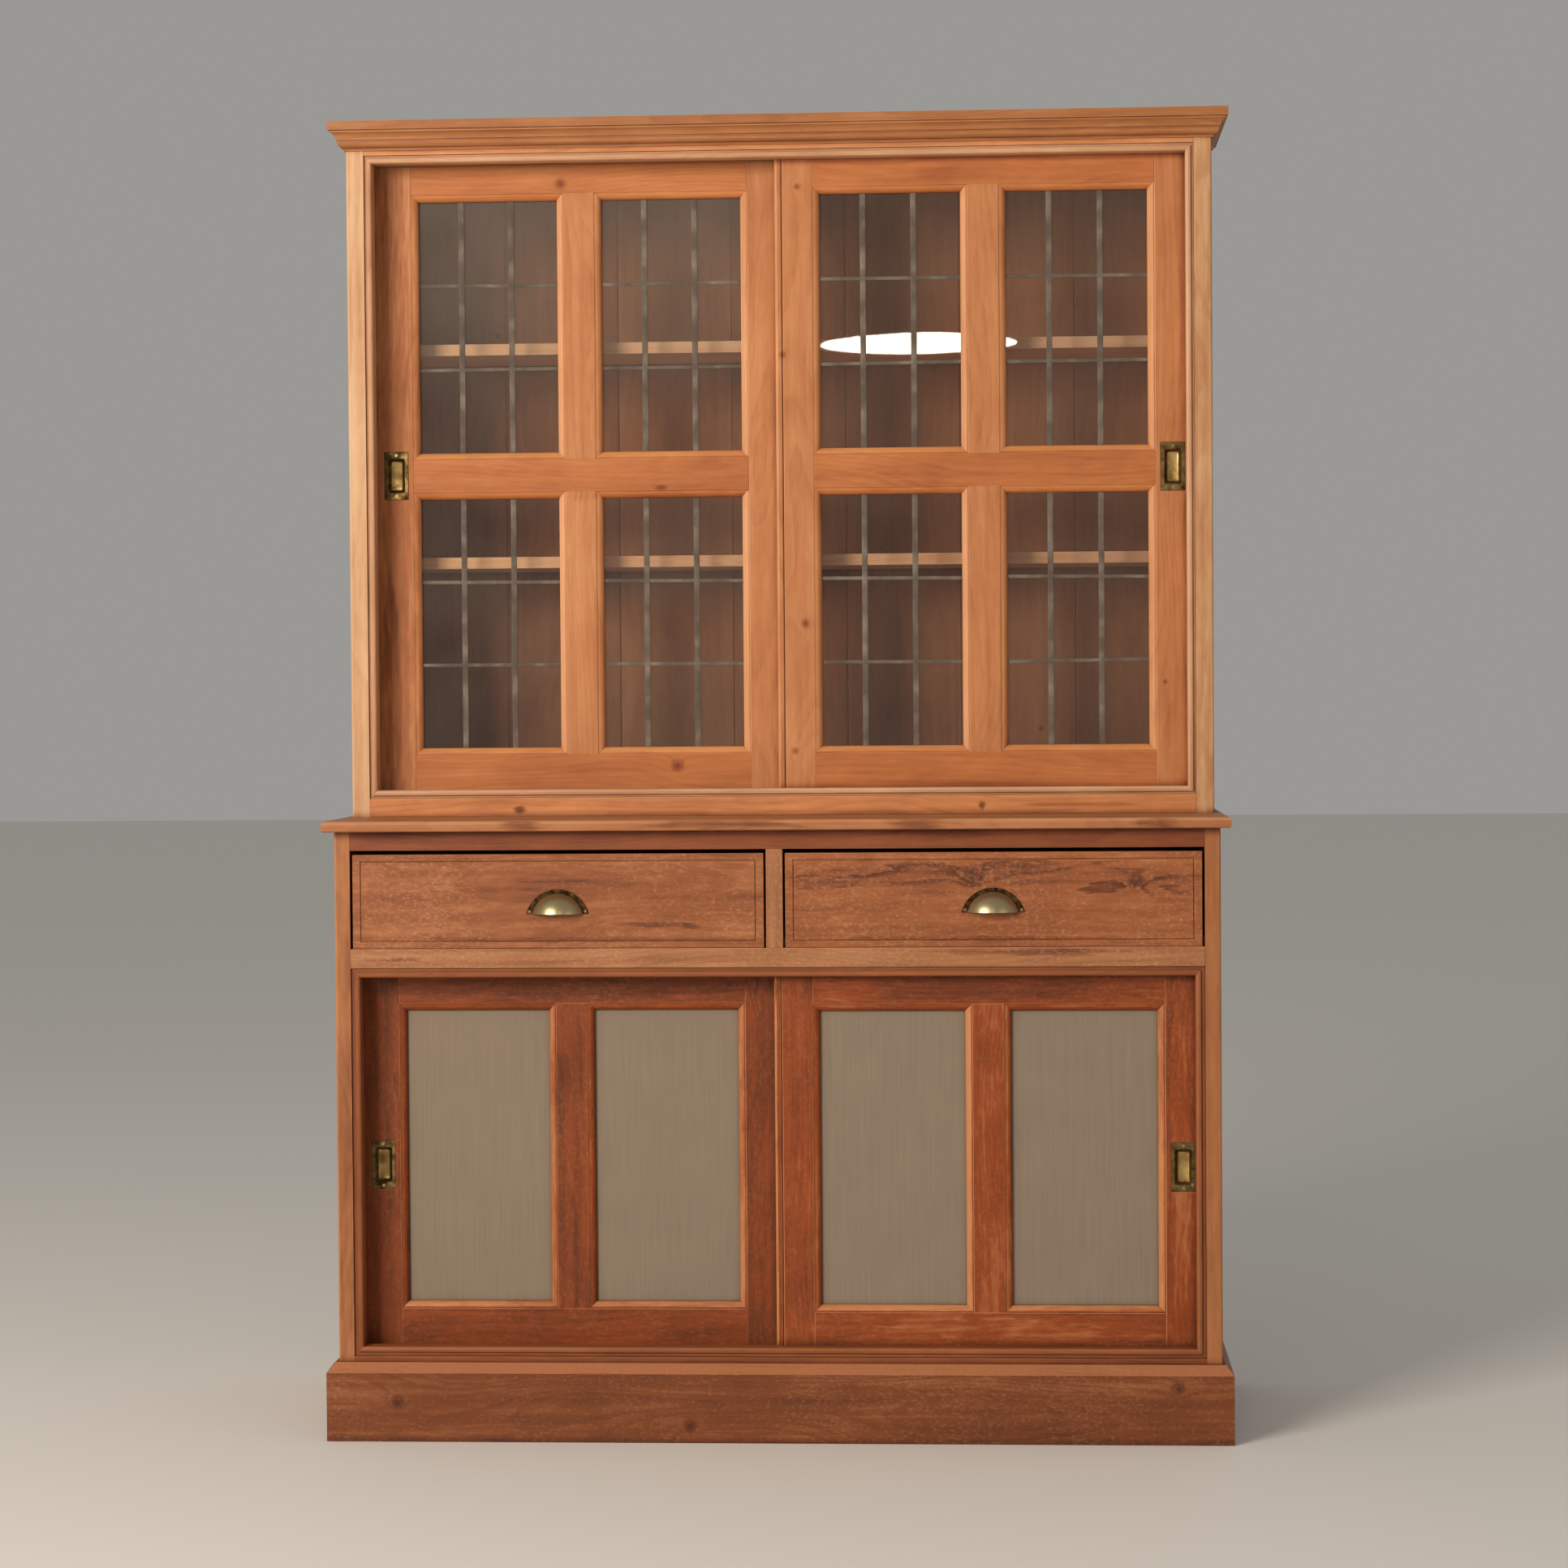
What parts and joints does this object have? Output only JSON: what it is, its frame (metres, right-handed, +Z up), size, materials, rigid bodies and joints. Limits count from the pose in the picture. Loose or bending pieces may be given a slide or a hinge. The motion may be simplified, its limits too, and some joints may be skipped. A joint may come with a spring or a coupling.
{
  "type": "kitchen dresser",
  "caption": "Two-part pine kitchen dresser: glazed cupboard with sliding leaded doors over a base with drawers and sliding panelled doors.",
  "frame": {"origin": "floor level, middle of the width and of the depth", "axes": "+X to the right seen from the front, +Y from front to back, +Z up"},
  "size_m": [1.543, 0.57, 2.2465],
  "materials": {
    "pine_upper": "stripped and waxed pine",
    "pine_base": "stripped and waxed pine, darker",
    "pine_glazed_doors": "stripped and waxed pine",
    "pine_panelled_doors": "stripped and waxed pine, dark",
    "pine_drawers": "stripped pine with traces of paint",
    "bare_pine": "bare pine",
    "back_pine": "aged bare pine boards",
    "hardwood": "waxed beech",
    "aged_brass": "aged brass with dark patina",
    "lead": "dull grey lead cames",
    "glass": "clear old glass",
    "painted_panel": "matt grey-brown paint"
  },
  "bodies": {
    "dresser": {"base_back_boards": "back_pine", "base_bead_frame": "pine_base", "base_bottom_board": "bare_pine", "base_bottom_rail": "pine_base", "base_door_tracks": "hardwood", "base_drawer_muntin": "pine_base", "base_drawer_rail": "pine_base", "base_drawer_runners": "bare_pine", "base_dust_board": "bare_pine", "base_shelf": "bare_pine", "base_sides": "pine_base", "base_top_rail": "pine_base", "cornice": "pine_upper", "counter_top": "pine_base", "plinth": "pine_base", "shelf_bearers": "bare_pine", "upper_back_boards": "back_pine", "upper_bead_frame": "pine_upper", "upper_bottom_board": "bare_pine", "upper_bottom_rail": "pine_upper", "upper_door_tracks": "hardwood", "upper_head_rail": "pine_upper", "upper_shelves": "bare_pine", "upper_sides": "pine_upper", "upper_top_board": "bare_pine"},
    "glazed_door_left": {"glazed_door_left_glass": "glass", "glazed_door_left_leads": "lead", "glazed_door_left_muntins": "pine_glazed_doors", "glazed_door_left_pull": "aged_brass", "glazed_door_left_rails": "pine_glazed_doors", "glazed_door_left_stiles": "pine_glazed_doors"},
    "glazed_door_right": {"glazed_door_right_bead": "pine_glazed_doors", "glazed_door_right_glass": "glass", "glazed_door_right_leads": "lead", "glazed_door_right_muntins": "pine_glazed_doors", "glazed_door_right_pull": "aged_brass", "glazed_door_right_rails": "pine_glazed_doors", "glazed_door_right_stiles": "pine_glazed_doors"},
    "panelled_door_left": {"panelled_door_left_muntins": "pine_panelled_doors", "panelled_door_left_panels": "painted_panel", "panelled_door_left_pull": "aged_brass", "panelled_door_left_rails": "pine_panelled_doors", "panelled_door_left_stiles": "pine_panelled_doors"},
    "panelled_door_right": {"panelled_door_right_bead": "pine_panelled_doors", "panelled_door_right_muntins": "pine_panelled_doors", "panelled_door_right_panels": "painted_panel", "panelled_door_right_pull": "aged_brass", "panelled_door_right_rails": "pine_panelled_doors", "panelled_door_right_stiles": "pine_panelled_doors"},
    "drawer_left": {"drawer_left_back": "bare_pine", "drawer_left_bottom": "bare_pine", "drawer_left_front": "pine_drawers", "drawer_left_pull": "aged_brass", "drawer_left_sides": "bare_pine"},
    "drawer_right": {"drawer_right_back": "bare_pine", "drawer_right_bottom": "bare_pine", "drawer_right_front": "pine_drawers", "drawer_right_pull": "aged_brass", "drawer_right_sides": "bare_pine"}
  },
  "joints": [
    {"name": "glazed_left_slide", "type": "slide", "parent": "dresser", "child": "glazed_door_left", "axis": [1, 0, 0], "range_m": [-0.006, 0.702]},
    {"name": "glazed_right_slide", "type": "slide", "parent": "dresser", "child": "glazed_door_right", "axis": [1, 0, 0], "range_m": [-0.708, 0]},
    {"name": "panelled_left_slide", "type": "slide", "parent": "dresser", "child": "panelled_door_left", "axis": [1, 0, 0], "range_m": [-0.006, 0.707]},
    {"name": "panelled_right_slide", "type": "slide", "parent": "dresser", "child": "panelled_door_right", "axis": [1, 0, 0], "range_m": [-0.713, 0]},
    {"name": "drawer_left_slide", "type": "slide", "parent": "dresser", "child": "drawer_left", "axis": [0, -1, 0], "range_m": [0, 0.4]},
    {"name": "drawer_right_slide", "type": "slide", "parent": "dresser", "child": "drawer_right", "axis": [0, -1, 0], "range_m": [0, 0.4]}
  ]
}
